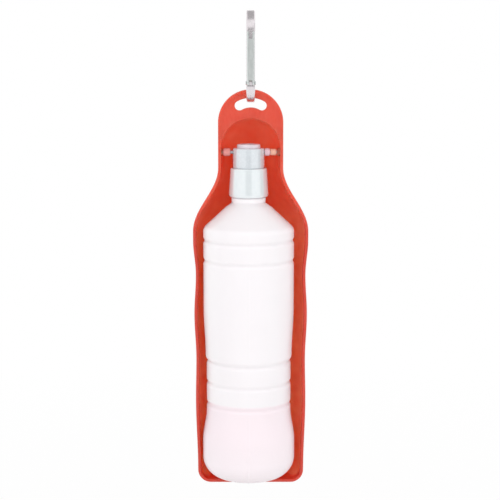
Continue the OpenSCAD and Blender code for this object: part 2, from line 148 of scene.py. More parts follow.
# %% Helpers for turned shapes
def eased(corners, closed=False, steps=5, guard=1.35):
    """Rounds the corners of a profile. A corner (r, h, ease) becomes the parabola that leaves one side at a
    distance `ease` before the corner and joins the next side `ease` after it. One more point on each side,
    at `guard` times that distance, keeps the flat stretches flat when they are shaded smooth. No point goes
    further than 0.45 of the way to the next corner."""
    corners = np.array(corners, float)
    here, ease = corners[:, :2], corners[:, 2:]
    if not closed:
        ease = ease * np.array([0] + [1] * (len(corners) - 2) + [0])[:, None]

    def towards(other, share):
        """The point at `share` times the ease from each corner, on the way to its neighbour."""
        way = other - here
        length = np.linalg.norm(way, axis=1, keepdims=True)
        return here + way / length * np.minimum(ease * share, 0.45 * length)

    before, after = np.roll(here, 1, axis=0), np.roll(here, -1, axis=0)
    w = np.linspace(0, 1, steps)[None, :, None]
    start, end = towards(before, 1)[:, None], towards(after, 1)[:, None]
    curve = (1 - w) ** 2 * start + 2 * w * (1 - w) * here[:, None] + w**2 * end
    guards = [towards(side, guard)[:, None] for side in (before, after)]
    curve = np.concatenate([guards[0], curve, guards[1]], axis=1)
    return curve.reshape(-1, 2)


def turned(profile, centre, along="Z", steps=96, angles=None):
    """Turns a profile of (radius, height) rows about an axis. At angle a a point lies at radius times the
    cosine of a and radius times the sine of a across the axis, and at its height along it. The axis is Z
    or X, through the point `centre`."""
    a = np.linspace(0, 2 * np.pi, steps, endpoint=False) if angles is None else angles
    r, h = profile[:, :1], profile[:, 1:] + 0 * a
    if along == "Z":
        return np.stack([r * np.cos(a), r * np.sin(a), h], axis=2) + centre
    return np.stack([h, r * np.cos(a), r * np.sin(a)], axis=2) + centre


print("an eased corner has", len(eased([[0, 0, 0], [1, 0, 0.2], [1, 1, 0]])) // 3, "points")

# %% [markdown]
# ## The tray's outline
#
# The tray is one moulding. Seen from the front, it is a straight foot with round corners, wavy sides that
# swell at the shoulders and in the middle, and a round head. The sides are best given by their half width at
# a few heights. Between these stations the width follows half a cosine wave, which leaves every station
# level, so the swells and waists have no kinks. All heights are counted from the tray's foot, in millimetres,
# and one offset puts the pieces in their place below the carabiner.

# %% Values of the tray and its outline
tray_place = np.array([0, 3.75, -325.2])
foot_half, corner_r, head_r = 36.9, 9.0, 22.2  # half the foot's width, its corners' radius, the head's radius
rim_w, rim_h, flange_t = 2.1, 5.0, 2.5  # the rim's width and depth, the flange's thickness
lip = 0.44  # how far the trough's outer face lies inside the outline
recess_z, head_z = 235.2, 252.8  # heights of the middles of the recess's dome and of the head's round
stations = np.array([
    [corner_r, foot_half], [60, 38.2], [89, 37.75], [120, 38.95], [148, 37.8],
    [172, 39.6], [178, 39.6], [222, head_r], [275, head_r],
])


def half_width(z):
    """Half the tray's width at height z. Between two stations it goes from one value to the next by
    (1 - cosine) / 2 of the way, as the angle goes from 0 to half a turn."""
    i = np.clip(np.searchsorted(stations[:, 0], z, side="right") - 1, 0, len(stations) - 2)
    low, high = stations[i], stations[i + 1]
    t = np.clip((z - low[:, 0]) / (high[:, 0] - low[:, 0]), 0, 1)
    return low[:, 1] + (high[:, 1] - low[:, 1]) * (1 - np.cos(np.pi * t)) / 2


def half_outline(inset, centre):
    """The right half of the outline, moved inwards by inset, from the middle of the foot to the middle of
    the head, as (x, z) rows. The head is a straight rise to the height centre and then a quarter circle. The
    number of points doesn't depend on inset or centre, so two outlines can be joined point by point."""
    foot = np.linspace(0, foot_half - corner_r, 9)[:-1]
    turn = np.radians(np.linspace(-90, 0, 10))[:-1]
    z = np.linspace(corner_r, recess_z, 122)[:-1]
    slope = (half_width(z + 0.1) - half_width(z - 0.1)) / 0.2
    bend = np.sqrt(1 + slope**2)
    r, rise = head_r - inset, centre - recess_z
    way = np.linspace(0, 1, 41) * (rise + r * np.pi / 2)
    head_turn = np.maximum(way - rise, 0) / r
    round_corner = (corner_r - inset) * np.stack([np.cos(turn), np.sin(turn)], axis=1)
    return np.concatenate([
        np.stack([foot, np.full_like(foot, inset)], axis=1),
        [foot_half - corner_r, corner_r] + round_corner,
        np.stack([half_width(z) - inset / bend, z + inset * slope / bend], axis=1),
        np.stack([r * np.cos(head_turn), recess_z + np.minimum(way, rise) + r * np.sin(head_turn)], axis=1),
    ])


print("tray width at the shoulders:", 2 * half_width(np.array([175.0]))[0], "mm")

# %% [markdown]
# ## The trough and the rim
#
# The trough is half a turned shape: each height of the outline is swung through half a turn about the middle
# line, which gives a half round channel with a dome at the top and a flat end wall below. In front of it
# stands a straight rim. It is a cross section carried round the whole outline: up the inner face, over the
# rounded land, down the outer face and back to the trough. Over the head the land widens to the flange, and
# behind the flange the section dips into a hollow, as mouldings are cored out to keep the wall even.

# %% The trough and the rim
def trough(inset):
    """One face of the trough: the outline's point (x, z) at angle a is at x cosine a, x sine a, z."""
    a = np.linspace(0, np.pi, 65)
    x, z = half_outline(inset, recess_z)[:, :, None].transpose(1, 0, 2)
    return np.stack([x * np.cos(a), x * np.sin(a), z + 0 * a], axis=2) + tray_place


def whole(half):
    """Both halves of an outline as one loop: the right half upwards, then its mirror image downwards."""
    return np.concatenate([half, (half * [-1, 1])[::-1]])


def rim():
    """The rim as a grid: a row is a point of the outline, a column a point of the cross section. A point is
    found by going from the inner or the outer outline towards the other by a distance, at a depth y. On a
    rounded edge, angle a lies at ease (1 - cosine a) from the outline and ease (1 - sine a) from the land."""
    inner = whole(half_outline(rim_w, recess_z))
    outer = whole(half_outline(0, head_z))
    wall = whole(half_outline(lip, recess_z))

    def way_to(target):
        """The direction from each point of the outer outline to the target's, and how far it is."""
        way = target - outer
        length = np.linalg.norm(way, axis=1, keepdims=True)
        return way / length, length

    inwards = way_to(inner)[0]
    back, back_width = way_to(wall)
    skirt = np.minimum(back_width, rim_w)
    level = np.zeros_like(back_width)
    hollow = np.where(back_width > rim_w + 0.05, flange_t - rim_h, 0)
    quarter = np.radians(np.linspace(0, 90, 6))
    ease_in, ease_out, guard_side, guard_land = 0.7, 0.8, 1.3, 1.2
    columns = [(inner, level), (inner, level - rim_h + guard_side * ease_in)]
    for a in quarter:
        eased_point = inner - inwards * ease_in * (1 - np.cos(a))
        columns.append((eased_point, level - rim_h + ease_in * (1 - np.sin(a))))
    columns.append((inner - inwards * guard_land * ease_in, level - rim_h))
    columns.append((outer + inwards * guard_land * ease_out, level - rim_h))
    for a in quarter[::-1]:
        eased_point = outer + inwards * ease_out * (1 - np.cos(a))
        columns.append((eased_point, level - rim_h + ease_out * (1 - np.sin(a))))
    for y, d in [(-rim_h + guard_side * ease_out, 0), (-0.3, 0), (-0.2, 0), (-0.06, 0.06), (0, 0.2)]:
        columns.append((outer + back * d, level + y))
    columns += [(outer + back * skirt, level), (outer + back * skirt, hollow), (wall, hollow), (wall, level)]
    across = np.stack([place for place, y in columns], axis=1)
    depth = np.stack([y[:, 0] for place, y in columns], axis=1)
    return np.stack([across[:, :, 0], depth, across[:, :, 1]], axis=2) + tray_place


tray_shells = [(trough(rim_w), False, False), (trough(lip), False, False), (rim(), True, False)]
tray_mesh = make_mesh("tray_moulding", tray_shells)
print("faces of the tray before its openings are cut:", len(tray_mesh.polygons))

# %% [markdown]
# ## The openings in the tray
#
# The head has a curved slot for the carabiner, and each wall has a hole for a pivot pin. A hole in the middle
# of a grid is awkward, so this is a good place for a Boolean: a cutter with the shape of the opening is
# taken away from the moulding. The slot's cutter flares at both faces of the flange, which leaves the slot
# with rounded edges, as fingers and a carabiner need.

# %% The cutters
pin_centre = tray_place + [0, 0, 232.3]
pin_bore_r = 1.3
slot_mid, slot_bend, slot_half = 266.1, 15.5, 3.2  # height, middle radius and half width of the curved slot
slot_turn = np.radians(29.57)  # its middle line goes this far to each side


def slot_loop(half):
    """The slot's outline as (x, z) rows: an arc of the middle radius plus half, a half circle round the left
    end, an arc of the middle radius less half, and a half circle round the right end."""
    over = np.linspace(-slot_turn, slot_turn, 24)
    cap = np.radians(np.linspace(0, 180, 14))[1:-1]

    def on(r, a):
        """The point at radius r, turned by a from the top to the left: (-r sine a, r cosine a)."""
        return np.stack([-r * np.sin(a), r * np.cos(a)], axis=1)

    left = on(slot_bend, np.full_like(cap, slot_turn)) + on(half, slot_turn + cap)
    right = on(slot_bend, np.full_like(cap, -slot_turn)) + on(half, -slot_turn + np.pi + cap)
    loop = np.concatenate([on(slot_bend + half, over), left, on(slot_bend - half, over[::-1]), right])
    return loop + [0, slot_mid - slot_bend]


def slot_cutter(ease=0.7):
    """The slot's outline carried through the flange. At a depth of ease (1 - cosine a) from either face the
    outline is wider by ease (1 - sine a), which is the round of the edge."""
    a = np.radians(np.linspace(0, 90, 7))
    depth, flare = ease * (1 - np.cos(a)), ease * (1 - np.sin(a))
    front, back, past = -rim_h, flange_t - rim_h, 0.5
    y = np.concatenate([[front - past], front + depth, back - depth[::-1], [back + past]])
    wide = np.concatenate([[ease + past], flare, flare[::-1], [ease + past]])
    rows = [np.insert(slot_loop(slot_half + w), 1, d, axis=1) for w, d in zip(wide, y)]
    middle = np.array([0, 0, slot_mid])
    ends = [np.tile(middle + [0, d, 0], (len(rows[0]), 1)) for d in (y[0], y[-1])]
    return np.stack([ends[0], *rows, ends[1]]) + tray_place


def pin_cutter(side):
    """A round bar along X through one wall, closed by a point in the middle of each end."""
    start, end = 18.6 * side, 24.0 * side
    round_bar = np.array([[0, start], [pin_bore_r, start], [pin_bore_r, end], [0, end]])
    return turned(round_bar, pin_centre, along="X", steps=40)


def cut_away(mesh, cutter_shells, crossing=False):
    """The mesh less the cutters, worked out by an exact Boolean and written to a new mesh. Cutters that cross
    each other need more work, which is only done when asked for."""
    cutter = bpy.data.objects.new("cutter", make_mesh("cutter", cutter_shells))
    blank = bpy.data.objects.new("blank", mesh)
    for part in (cutter, blank):
        bpy.context.scene.collection.objects.link(part)
    cut = blank.modifiers.new("openings", "BOOLEAN")
    cut.operation, cut.solver, cut.object, cut.use_self = "DIFFERENCE", "EXACT", cutter, crossing
    result = bpy.data.meshes.new_from_object(blank.evaluated_get(bpy.context.evaluated_depsgraph_get()))
    for part in (cutter, blank):
        bpy.data.objects.remove(part)
    clean(result)
    result.name = mesh.name + "_cut"
    return result


tray_cutters = [(slot_cutter(), False, True), (pin_cutter(1), False, True), (pin_cutter(-1), False, True)]
tray = make_piece("tray_moulding", cut_away(tray_mesh, tray_cutters), "tray", ["tray"])

# %% [markdown]
# ## The pin bosses
#
# Where a pin goes through the thin wall, a moulder puts a boss: a short thick ring that carries the load and
# keeps the beads away from the wall. It swells a little where it grows out of the wall, because a sharp
# inner corner would crack. It could be cut from the moulding, but a turned ring sunk in the wall is simpler.

# %% The two bosses
def boss(end, side):
    """A bored ring from the wall to x = end, whose radius grows towards the wall."""
    wall, boss_r, root_r = 20.9 * side, 2.5, 3.3
    corners = [
        [pin_bore_r, end, 0.12], [boss_r, end, 0.3], [boss_r, end + 0.7 * side, 0.3], [root_r, wall, 0],
        [pin_bore_r, wall, 0],
    ]
    return turned(eased(corners, closed=True), pin_centre, along="X", steps=64)


bosses_mesh = make_mesh("pin_bosses", [(boss(-19.1, -1), True, True), (boss(17.9, 1), True, True)])
bosses = make_piece("pin_bosses", bosses_mesh, "tray", ["tray"])

# %% [markdown]
# ## The bottle
#
# The bottle is blow-moulded: a tube of soft plastic is pinched between two mould halves and blown up like a
# balloon. So it is thin all over, it has soft grooves, and a fine seam runs down its front and back, thicker
# at the foot where the mould pinched the tube shut. It is a turned shape, and the seam is added by moving
# the points at the two angles where the mould halves met.

# %% The bottle's outer profile
bottle_place = tray_place + [-1.4, 0, 3.8]
foot_r, foot_round, grip_r, body_r = 32.05, 15.0, 29.3, 31.3
shoulder_h, shoulder_round, slope_h = 174.2, 5.0, 190.0  # above slope_h only the seamless neck follows
neck_r, neck_bore_r, neck_top, mouth_h = 10.9, 9.4, 213.0, 214.64
bottle_stations = np.array([
    [0, foot_r], [26.6, foot_r], [49.6, grip_r], [83.8, grip_r], [87.8, 30.0], [121.8, body_r],
    [179.2, body_r],
])
groove_heights = np.array([53.6, 68.7, 83.8, 154.0, 168.0])
groove_w, groove_depth = 4.6, 0.9


def bottle_radius(h):
    """The radius at height h: half cosine steps between the stations, less a round groove at each groove
    height. A groove is its depth times half of 1 plus the cosine of an angle that makes a whole turn across
    the groove's width."""
    i = np.clip(np.searchsorted(bottle_stations[:, 0], h, side="right") - 1, 0, len(bottle_stations) - 2)
    low, high = bottle_stations[i], bottle_stations[i + 1]
    t = np.clip((h - low[:, 0]) / (high[:, 0] - low[:, 0]), 0, 1)
    smooth = low[:, 1] + (high[:, 1] - low[:, 1]) * (1 - np.cos(np.pi * t)) / 2
    off = np.abs(h[:, None] - groove_heights)
    bowl = (1 + np.cos(2 * np.pi * off / groove_w)) / 2
    groove = np.where(off < groove_w / 2, groove_depth * bowl, 0)
    return smooth - groove.sum(axis=1)


def bottle_outside():
    """The outer profile from the middle of the base to the neck: a pushed-up base, a quarter circle foot, the
    body, the rounded edge of the shoulder, the slope and the neck with its thicker band."""
    out, push_up = np.linspace(0, 1, 10)[:-1], 2.2
    base = np.stack([(foot_r - foot_round) * out, push_up * (1 + np.cos(np.pi * out)) / 2], axis=1)
    foot_turn = np.radians(np.linspace(-90, 0, 24))[:-1]
    foot_arc = np.stack([np.cos(foot_turn), np.sin(foot_turn)], axis=1)
    foot = [foot_r - foot_round, foot_round] + foot_round * foot_arc
    h = np.arange(foot_round, shoulder_h, 0.55)
    body = np.stack([bottle_radius(h), h], axis=1)
    slope = np.arctan2(14.3, 19.4)
    edge_turn = np.linspace(0, np.pi / 2 - slope, 10)
    edge_arc = np.stack([np.cos(edge_turn), np.sin(edge_turn)], axis=1)
    edge = [body_r - shoulder_round, shoulder_h] + shoulder_round * edge_arc
    neck = eased([
        [16.0, 190.5, 0], [12.1, 193.3, 0.9], [11.3, 194.2, 0.3], [11.7, 194.6, 0.3], [11.7, 197.3, 0.3],
        [neck_r, 197.5, 0.2], [neck_r, neck_top, 0],
    ])
    return np.concatenate([base, foot, body, edge, neck])


outside = bottle_outside()
print("the bottle's profile has", len(outside), "points")

# %% [markdown]
# The inner wall follows the outer one at the wall's thickness, along the profile's normals, at every second
# point. Below the neck it needs no more, and the neck has a plain bore. Because both walls are one closed
# shell, light can be scattered inside the wall and the bottle looks milky instead of painted.

# %% The bottle's wall, mouth and seam
def inside_of(profile, thickness):
    """The profile moved inwards along its normals, which are its tangents turned by a quarter turn."""
    tangent = np.gradient(profile, axis=0)
    tangent /= np.maximum(np.linalg.norm(tangent, axis=1, keepdims=True), 1e-9)
    moved = profile + thickness * np.stack([-tangent[:, 1], tangent[:, 0]], axis=1)
    moved[:, 0] = np.maximum(moved[:, 0], 0)
    moved[0, 0] = 0
    return moved


wall_t = 1.0
inside = inside_of(outside[outside[:, 1] < slope_h], wall_t)[::2]
mouth = eased([
    [neck_r, neck_top, 0], [neck_r, mouth_h, 0.4], [neck_bore_r, mouth_h, 0.4], [neck_bore_r, 195.0, 1.0],
    [*inside[-1], 0],
])
profile = np.concatenate([outside, mouth, inside[::-1]])

seam_steps = np.array([-1.3, -0.6, -0.3, 0, 0.3, 0.6, 1.3]) / body_r
angles = np.linspace(0, 2 * np.pi, 128, endpoint=False)
near_seam = np.abs(np.abs(np.sin(angles)) - 1) < 0.002
angles = np.sort(np.concatenate([angles[~near_seam], np.pi / 2 + seam_steps, 3 * np.pi / 2 + seam_steps]))


def with_seam(grid, profile, angles):
    """Lifts the outer wall at the front and the back. The lift is e to the power of minus the square of the
    distance from the seam over the seam's half width. It is higher where the pinched tube ends, a little
    above the foot, and on the foot's round."""
    r, h = profile[:, :1], profile[:, 1:]
    away = np.arcsin(np.clip(np.cos(angles), -1, 1)) * body_r
    seam_half, seam_lift, pinch_h, pinch_half = 0.42, 0.07, 21, 3.2
    pinch = 0.26 * np.exp(-(((h - pinch_h) / pinch_half) ** 4)) + 0.2 * (h < 12)
    outer = (np.arange(len(profile)) < len(outside))[:, None] & (h < slope_h) & (r > 3)
    lift = (seam_lift + pinch) * np.exp(-((away / seam_half) ** 2)) * outer
    out = grid - bottle_place
    out[:, :, 2] = 0
    out /= np.maximum(np.linalg.norm(out, axis=2, keepdims=True), 1e-9)
    return grid + out * lift[:, :, None]


bottle_grid = turned(profile, bottle_place, angles=angles)
bottle_grid = with_seam(bottle_grid, profile, angles)
bottle_mesh = make_mesh("squeeze_bottle", [(bottle_grid, False, True)])
bottle = make_piece("squeeze_bottle", bottle_mesh, "bottle", ["bottle"], sharp=60)

# %% [markdown]
# ## The screw cap
#
# The cap is a skirt over the neck, a little wider below, with a well rounded lower edge, and a spout on top.
# Its whole profile is one closed chain of corners, bore included, so a single turned surface gives a solid
# cap. Inside, the skirt steps back round the gasket that seals the neck.

# %% The screw cap
cap_place = tray_place + [-1.4, 0, 0]
cap_low, cap_top, spout_top = 201.7, 221.5, 233.1
spout_bore_r, spout_r, skirt_bore_r, gasket_r = 4.4, 7.0, 11.2, 11.85
under_top = cap_top - 1.8
cap_profile = eased([
    [spout_bore_r, spout_top, 0.3], [spout_r, spout_top, 0.4], [spout_r, cap_top, 0.2], [12.5, cap_top, 1.0],
    [13.6, cap_low + 2.2, 1.2], [13.3, cap_low, 1.3], [skirt_bore_r, cap_low, 0.3],
    [skirt_bore_r, cap_top - 3.4, 0.1], [gasket_r, cap_top - 3.2, 0.1], [gasket_r, under_top, 0.2],
    [spout_bore_r, under_top, 0.2],
], closed=True)
cap_mesh = make_mesh("screw_cap_shell", [(turned(cap_profile, cap_place, steps=144), True, True)])
cap = make_piece("screw_cap_shell", cap_mesh, "cap", ["screw_cap"])

# %% [markdown]
# ## The pivot collar and the outlet
#
# The collar is the thick ring that takes the pins. It sits on the cap like a second storey, greyer and
# narrower. On it stands the outlet ring, which clamps the silicone valve. Both are turned shapes with small
# rounds, and a fine step at the foot of the collar reads as a dark line.

# %% The collar and the outlet ring
collar_bore_r, collar_r, collar_top, outlet_top = 7.1, 10.8, 235.1, 237.7
collar_profile = eased([
    [collar_bore_r, cap_top, 0.2], [10.65, cap_top, 0.35], [collar_r, 222.4, 0.3],
    [collar_r, collar_top, 0.9], [collar_bore_r, collar_top, 0.2],
], closed=True)
collar_mesh = make_mesh("collar_ring", [(turned(collar_profile, cap_place, steps=144), True, True)])
collar = make_piece("collar_ring", collar_mesh, "cap", ["pivot_collar"])
outlet_low, outlet_r, outlet_bore_r, plug_r = 234.1, 8.0, 4.8, 6.8
outlet_profile = eased([
    [outlet_bore_r, outlet_low, 0.1], [plug_r, outlet_low, 0.1], [plug_r, collar_top, 0.1],
    [outlet_r, collar_top, 0.15], [outlet_r, outlet_top, 0.9], [5.5, outlet_top, 0.35],
    [outlet_bore_r, 237.1, 0.25],
], closed=True)
outlet_mesh = make_mesh("outlet_clamp", [(turned(outlet_profile, cap_place, steps=128), True, True)])
outlet = make_piece("outlet_clamp", outlet_mesh, "cap", ["outlet_ring"])

# %% [markdown]
# ## The beads on the pins
#
# Loose beads on the pins fill the room between the collar and the tray's walls: one on the left, two smaller
# ones on the right. They are short tubes with well rounded ends, like the ones that are cut and tumbled.

# %% The beads
def bead(start, end, d, ease):
    """A bored bead from x = start to x = end, with its outer corners eased."""
    corners = [[pin_bore_r, start, 0.15], [d / 2, start, ease], [d / 2, end, ease], [pin_bore_r, end, 0.15]]
    return turned(eased(corners, closed=True, steps=7), pin_centre, along="X", steps=72)


beads = [
    ("left_bead", "left_spacer", "spacer_pink", -18.8, -13.9, 5.6, 1.4),
    ("right_inner_bead", "right_inner_spacer", "spacer_white", 9.6, 13.2, 5.2, 1.3),
    ("right_outer_bead", "right_outer_spacer", "spacer_cream", 13.5, 17.6, 4.6, 1.3),
]
bead_pieces = {}
for name, node, slot, start, end, d, ease in beads:
    bead_mesh = make_mesh(name, [(bead(start, end, d, ease), True, True)])
    bead_pieces[name] = make_piece(name, bead_mesh, "cap", [node])

# %% [markdown]
# ## The carabiner's bar
#
# The carabiner is a flat aluminium bar, bent into two bows of different width. A profile carried along a path
# makes it: the section is a rectangle with well rounded edges, and at every point of the path it is turned so
# that its thickness lies across the path, in the plane of the loop. The straight front side is the gate, so
# the path stops short of it at both ends.

# %% The bar along its path
low_bow, top_bow = np.array([0, 0, -46.0]), np.array([0, 0, -12.2])
low_r, top_r, bows_apart = 11.6, 13.6, 33.8
lean = np.arcsin((top_r - low_r) / bows_apart)
low_stop, top_stop = np.radians([6, 9])
across_bar = np.array([1, 0, 0])


def along_side(y, z, x=0.0):
    """Points of the front side: z along the gate, y towards the inside of the loop, x across the bar. The
    side leans outwards by `lean`, because the upper bow is the wider one."""
    start = low_bow + low_r * np.array([0, -np.cos(lean), -np.sin(lean)])
    y, z, x = np.broadcast_arrays(y, z, x)
    up, inwards = np.array([0, -np.sin(lean), np.cos(lean)]), np.array([0, np.cos(lean), np.sin(lean)])
    return start + y[..., None] * inwards + z[..., None] * up + x[..., None] * across_bar


def flat_bar(path, out, width, thickness, round_off):
    """A closed bar with a rounded rectangle as its section. A section point (x, d) lies at the path's point
    plus x along X and d along out. Every corner is a quarter circle, and each end closes in its middle."""
    turn = np.radians(np.arange(4)[:, None] * 90 + np.linspace(0, 90, 8)).ravel()
    corner = np.repeat([[1, 1], [-1, 1], [-1, -1], [1, -1]], 8, axis=0)
    w, t, r = (np.broadcast_to(v, len(path))[:, None] for v in (width, thickness, round_off))
    x = corner[:, 0] * (w / 2 - r) + r * np.cos(turn)
    d = corner[:, 1] * (t / 2 - r) + r * np.sin(turn)
    grid = path[:, None] + x[..., None] * across_bar + d[..., None] * out[:, None]
    ends = np.repeat(path[[0, -1]][:, None], len(turn), axis=1)
    return np.concatenate([ends[:1], grid, ends[1:]])


def eased_ends(size, count, ease):
    """The same size at every point but the first and the last, where it is less by twice ease."""
    return size - 2 * ease * np.isin(np.arange(count), [0, count - 1])


low_start, top_end, end_step = np.pi + lean + low_stop, np.pi + lean - top_stop, 0.01
low_turn = np.concatenate([[low_start - end_step], np.linspace(low_start, 2 * np.pi - lean, 60)])
top_turn = np.concatenate([np.linspace(-lean, top_end, 70), [top_end + end_step]])


def ring(turn):
    """The direction (0, cosine, sine) of each angle, in the plane of the loop."""
    return np.stack([0 * turn, np.cos(turn), np.sin(turn)], axis=1)


rise = np.linspace(0, 1, 14)[1:-1, None]
rear = (low_bow + low_r * ring(low_turn[-1:])) * (1 - rise) + (top_bow + top_r * ring(top_turn[:1])) * rise
bar_path = np.concatenate([low_bow + low_r * ring(low_turn), rear, top_bow + top_r * ring(top_turn)])
bar_out = np.concatenate([ring(low_turn), np.repeat(ring(low_turn[-1:]), len(rear), axis=0), ring(top_turn)])
bar_w, bar_t = (eased_ends(size, len(bar_path), 0.12) for size in (6.0, 2.8))
bar = flat_bar(bar_path, bar_out, bar_w, bar_t, 1.1)
print("length of the bar:", round(np.linalg.norm(np.diff(bar_path, axis=0), axis=1).sum()), "mm")

# %% [markdown]
# ## Tongues and gate
#
# Both ends of the bar are milled down to a tongue. The lower one carries the gate's rivet. The upper one is a
# small hook that a cross pin of the gate drops into, so that a pull on the carabiner closes it harder. Most
# of both is hidden in the gate's slots, so a few short flat bars that run into each other do for a tongue.

# %% The tongues
hinge_up, nose_up, gate_up, latch_up = 1.2, 35.87, 35.27, 32.77  # heights along the front side
side_out = along_side(1.0, 0.0) - along_side(0.0, 0.0)


def tongue(low, high, thin, thick, width=2.0):
    """A flat stretch of tongue between two heights of the front side, from y = thin to y = thick."""
    up = np.array([low, low + 0.1, high - 0.1, high])
    path = along_side((thin + thick) / 2, up)
    out = np.tile(side_out, (4, 1))
    return flat_bar(path, out, eased_ends(width, 4, 0.1), eased_ends(thick - thin, 4, 0.1), 0.12)


disc = eased([[0, -1, 0], [1.5, -1, 0.15], [1.5, 1, 0.15], [0, 1, 0]])
body_shells = [
    (bar, False, True),
    (tongue(-2.0, hinge_up, -1.0, 1.0), False, True),
    (turned(disc, along_side(0.0, hinge_up), along="X", steps=48), False, True),
    (tongue(latch_up - 1.7, latch_up - 0.85, -1.3, 1.3), False, True),
    (tongue(latch_up - 1.64, nose_up - 0.26, -1.27, -0.7, 1.94), False, True),
    (tongue(latch_up + 0.85, nose_up - 0.2, -1.3, 1.3), False, True),
    (tongue(gate_up - 1.0, nose_up + 0.8, -1.0, 1.0), False, True),
]
body_mesh = make_mesh("carabiner_bar", body_shells)
carabiner_bar = make_piece("carabiner_bar", body_mesh, "carabiner", ["carabiner_body"])

# %% [markdown]
# The gate is a flat bar too, round at its lower end, slotted at both ends over the tongues and bored for a
# spring. It starts as a plain bar, and the same Boolean that opened the tray takes the slots, the bore and
# the two pin holes out of it. These cutters cross each other, so the slower way of the Boolean is asked for.

# %% The gate and its rivet
gate_w, gate_half_t, slot_w, spring_bore_r = 5.2, 1.8, 2.4, 1.2


def gate_blank():
    """The gate before its slots are cut. Below the hinge the half thickness is the height of a circle about
    it: the square root of the circle's radius squared less the drop squared."""
    drop = gate_half_t * np.cos(np.radians(np.linspace(4, 90, 12)))
    up = np.concatenate([hinge_up - drop, np.linspace(hinge_up, gate_up, 30)[1:-1], [gate_up - 0.2, gate_up]])
    thickness = 2 * np.sqrt(np.maximum(gate_half_t**2 - np.maximum(hinge_up - up, 0) ** 2, 0.01))
    thickness[-1] -= 0.3
    width = np.where(np.arange(len(up)) == len(up) - 1, gate_w - 0.3, gate_w)
    out = np.tile(side_out, (len(up), 1))
    return flat_bar(along_side(0.0, up), out, width, thickness, np.minimum(0.7, 0.46 * thickness))


def round_rod(r, low, high):
    """The profile of a plain round rod from low to high, closed by a point in the middle of each end."""
    return np.array([[0, low], [r, low], [r, high], [0, high]])


bore = turned(round_rod(spring_bore_r, 1.2, 15.85), [0, 0, 0], steps=32)
bore = along_side(bore[..., 1], bore[..., 2], bore[..., 0])
gate_cutters = [
    (tongue(-3, 3.1, -4, 4, slot_w), False, True),
    (tongue(gate_up - 4.7, gate_up + 3, -4, 4, slot_w), False, True),
    (bore, False, True),
    (turned(round_rod(0.66, -4, 4), along_side(0.0, latch_up), "X", 24), False, True),
    (turned(round_rod(0.7, -4, 4), along_side(0.0, hinge_up), "X", 24), False, True),
]
gate_mesh = make_mesh("carabiner_gate_bar", [(gate_blank(), False, True)])
gate_mesh = cut_away(gate_mesh, gate_cutters, crossing=True)
gate = make_piece("gate_bar", gate_mesh, "gate", ["carabiner_gate"])
rivet_profile = eased([
    [0, -3.4, 0], [1.15, -3.4, 0.35], [1.6, -2.7, 0.15], [0.65, -2.7, 0.05], [0.65, 2.7, 0.05],
    [1.6, 2.7, 0.15], [1.15, 3.4, 0.35], [0, 3.4, 0],
])
rivet_mesh = make_mesh("rivet", [(turned(rivet_profile, along_side(0.0, hinge_up), "X", 48), False, True)])
rivet = make_piece("gate_rivet_domed", rivet_mesh, "carabiner", ["gate_rivet"])

# %% [markdown]
# ## Finishes
#
# A finish is a small network of nodes. Colour, roughness and relief each get some variation, at the size it
# has on the real surface. The patterns read Object coordinates, which are metres here because every piece
# sits at the origin: a noise whose Scale is 1 / size has features of about that size.

# %% Helpers for finishes
def paint(r, g, b):
    """A colour of 0 to 255 as light: (c + 0.055) / 1.055 to the power 2.4, or c / 12.92 near black."""
    c = np.array([r, g, b]) / 255
    return (*np.where(c <= 0.04045, c / 12.92, ((c + 0.055) / 1.055) ** 2.4), 1.0)


def start_finish(name, colour, **values):
    """A new material, given back with its node tree, its Principled shader and its Object coordinates. The
    colour is what a viewer shows that can't work out the nodes linked to the shader later."""
    material = bpy.data.materials.new(name)
    material.use_nodes = True
    tree = material.node_tree
    shader = tree.nodes["Principled BSDF"]
    shader.inputs["Base Color"].default_value = paint(*colour)
    for socket, value in values.items():
        shader.inputs[socket.replace("_", " ")].default_value = value
    return material, tree, shader, tree.nodes.new("ShaderNodeTexCoord").outputs["Object"]


def noise(tree, where, size, detail=2.0, stretch=(1, 1, 1)):
    """Noise with features of about `size` millimetres, drawn out along an axis whose stretch is over 1."""
    mapping = tree.nodes.new("ShaderNodeMapping")
    mapping.inputs["Scale"].default_value = [1 / s for s in stretch]
    texture = tree.nodes.new("ShaderNodeTexNoise")
    texture.inputs["Scale"].default_value = 1 / (size * MM)
    texture.inputs["Detail"].default_value = detail
    tree.links.new(where, mapping.inputs["Vector"])
    tree.links.new(mapping.outputs["Vector"], texture.inputs["Vector"])
    return texture.outputs["Fac"]


def between(tree, value, low, high, start=0.3, end=0.7):
    """Turns a value that goes from start to end into one that goes from low to high: low + (high - low)
    (value - start) / (end - start). It stops at low and at high. Most noise lies between 0.3 and 0.7."""
    node = tree.nodes.new("ShaderNodeMapRange")
    for socket, number in zip(("From Min", "From Max", "To Min", "To Max"), (start, end, low, high)):
        node.inputs[socket].default_value = number
    tree.links.new(value, node.inputs["Value"])
    return node.outputs["Result"]


def product(tree, first, second):
    """The product of two values."""
    node = tree.nodes.new("ShaderNodeMath")
    node.operation = "MULTIPLY"
    tree.links.new(first, node.inputs[0])
    tree.links.new(second, node.inputs[1])
    return node.outputs["Value"]


def parts_of(tree, vector):
    """The X, Y and Z of a place or a direction."""
    node = tree.nodes.new("ShaderNodeSeparateXYZ")
    tree.links.new(vector, node.inputs["Vector"])
    return node.outputs


